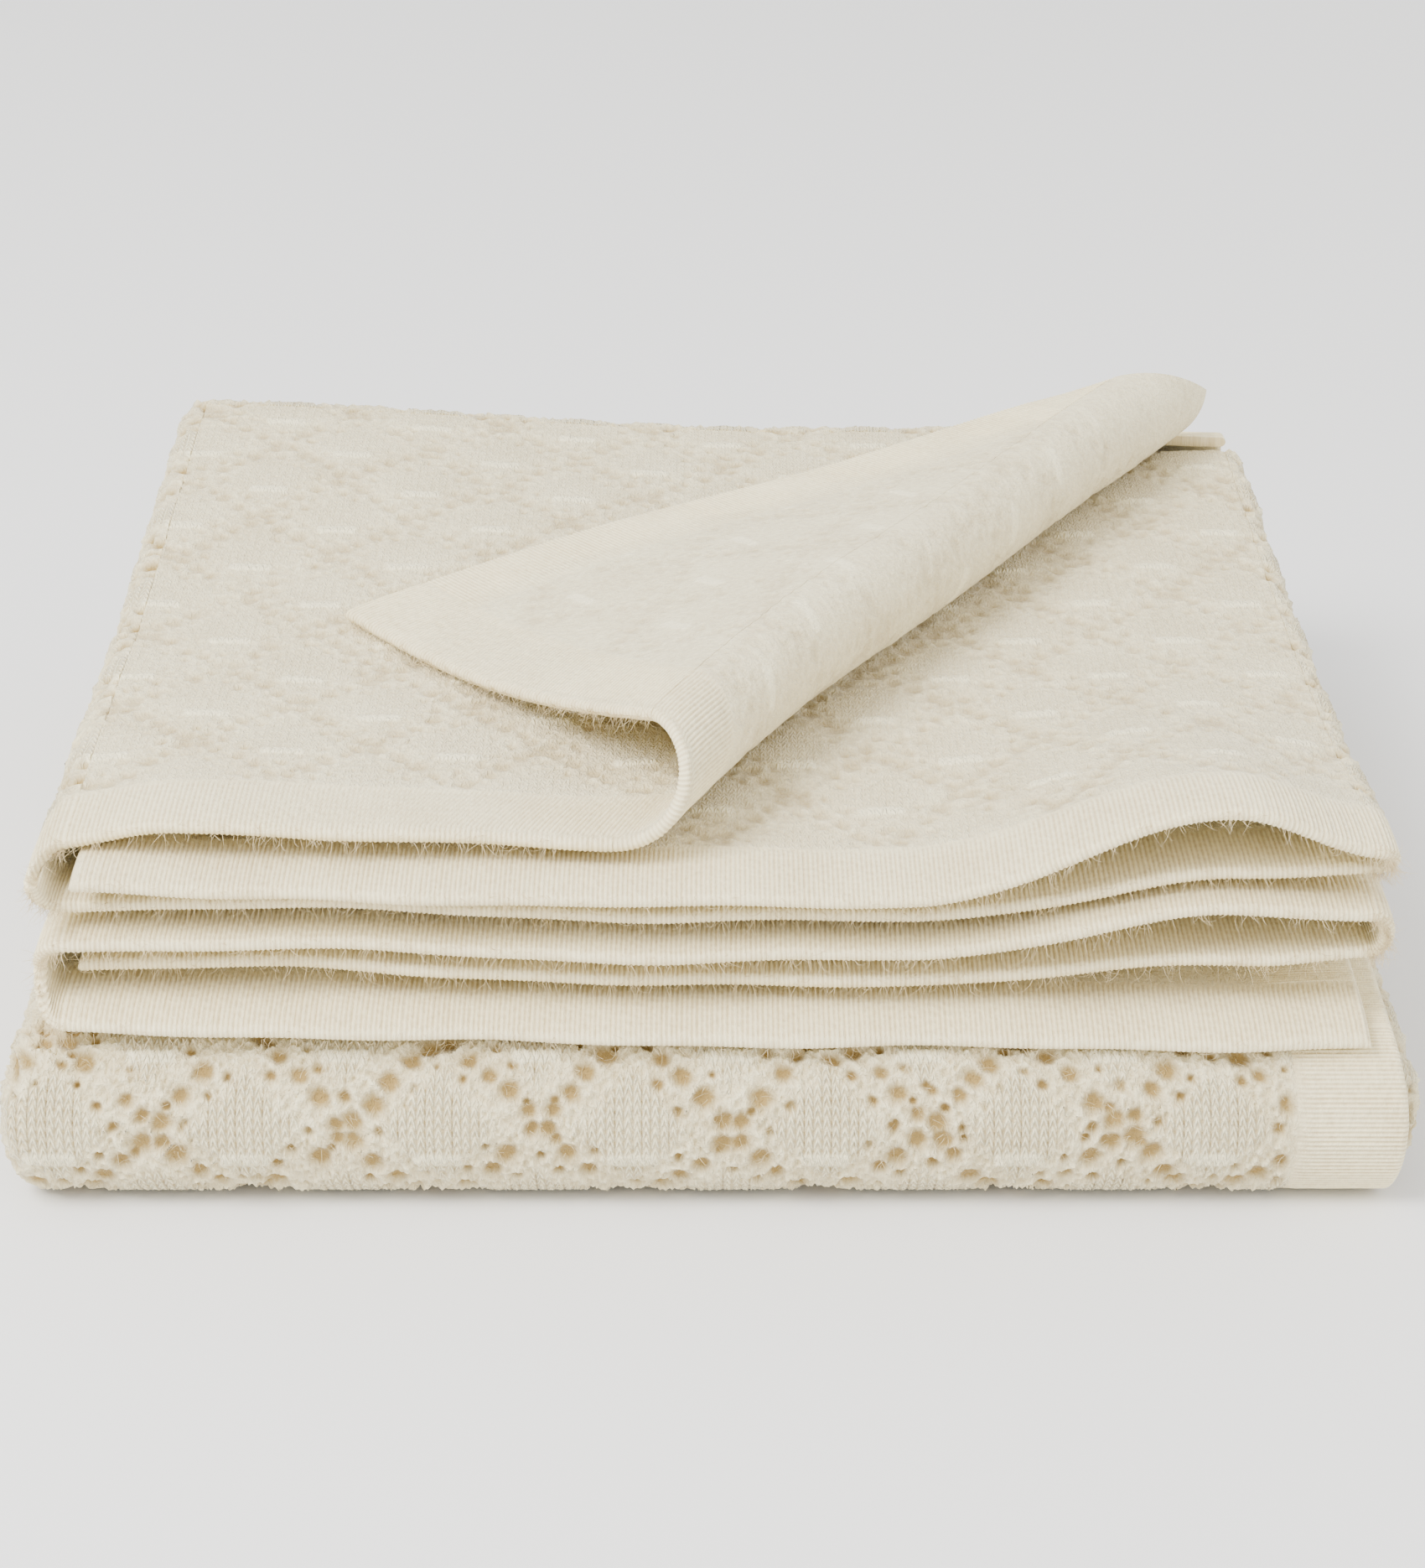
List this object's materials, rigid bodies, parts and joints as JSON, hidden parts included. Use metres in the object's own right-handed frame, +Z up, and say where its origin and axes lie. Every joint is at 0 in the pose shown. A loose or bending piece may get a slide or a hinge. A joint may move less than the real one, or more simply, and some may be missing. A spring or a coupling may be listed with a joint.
{
  "type": "folded throw blanket",
  "caption": "Knitted lace throw with rib borders, folded into a flat stack, with a top corner turned back; the upper half unfolds and the corner opens flat.",
  "frame": {"origin": "centre of the folded stack's footprint, on the surface that it lies on", "axes": "+Z up; +Y from the front nose to the back fold; +X to the right seen from the front, towards the top layer's free side edge"},
  "size_m": [0.432, 0.452, 0.1427],
  "materials": {
    "lace_knit": "soft ivory wool-type lace knit, lightly brushed",
    "rib_knit": "soft ivory wool-type fine rib knit"
  },
  "bodies": {
    "lower_half": {"back_tight_inner_fold": "lace_knit", "back_tight_middle_fold": "lace_knit", "back_tight_outer_fold": "lace_knit", "back_wide_inner_fold": "lace_knit", "back_wide_middle_fold": "lace_knit", "back_wide_outer_fold": "lace_knit", "bottom_inner_side_border": "rib_knit", "bottom_inner_third": "lace_knit", "bottom_left_fold": "lace_knit", "bottom_middle_third": "lace_knit", "bottom_outer_side_border": "rib_knit", "bottom_outer_third": "lace_knit", "bottom_right_fold": "lace_knit", "nose_inner_fold": "lace_knit", "nose_middle_fold": "lace_knit", "nose_outer_fold": "lace_knit", "third_inner_side_border": "rib_knit", "third_inner_third": "lace_knit", "third_left_fold": "lace_knit", "third_middle_third": "lace_knit", "third_outer_side_border": "rib_knit", "third_outer_third": "lace_knit", "third_right_fold": "lace_knit"},
    "upper_half": {"second_inner_end_border": "rib_knit", "second_inner_side_border": "rib_knit", "second_inner_third": "lace_knit", "second_left_fold": "lace_knit", "second_middle_end_border": "rib_knit", "second_middle_third": "lace_knit", "second_outer_end_border": "rib_knit", "second_outer_side_border": "rib_knit", "second_outer_third": "lace_knit", "second_right_fold": "lace_knit", "top_inner_end_border": "rib_knit", "top_inner_side_border": "rib_knit", "top_inner_third": "lace_knit", "top_left_fold": "lace_knit", "top_middle_end_border": "rib_knit", "top_middle_third": "lace_knit", "top_outer_end_border": "rib_knit", "top_outer_third": "lace_knit", "top_right_fold": "lace_knit"},
    "corner_flap": {"flap_end_border": "rib_knit", "flap_lace": "lace_knit", "flap_side_border": "rib_knit", "corner_roll": "lace_knit"}
  },
  "joints": [
    {"name": "upper_half_unfold", "type": "hinge", "parent": "lower_half", "child": "upper_half", "pos_m": [0, 0.1927, 0.05585], "axis": [-1, 0, 0], "range_deg": [0, 180], "deforming": ["back_tight_inner_fold", "back_tight_middle_fold", "back_tight_outer_fold", "back_wide_inner_fold", "back_wide_middle_fold", "back_wide_outer_fold"]},
    {"name": "corner_flap_turn", "type": "hinge", "parent": "upper_half", "child": "corner_flap", "pos_m": [-0.045, -0.194, 0.1247], "axis": [0.4848, 0.8746, 0], "range_deg": [0, 188.5], "deforming": ["corner_roll"]}
  ]
}
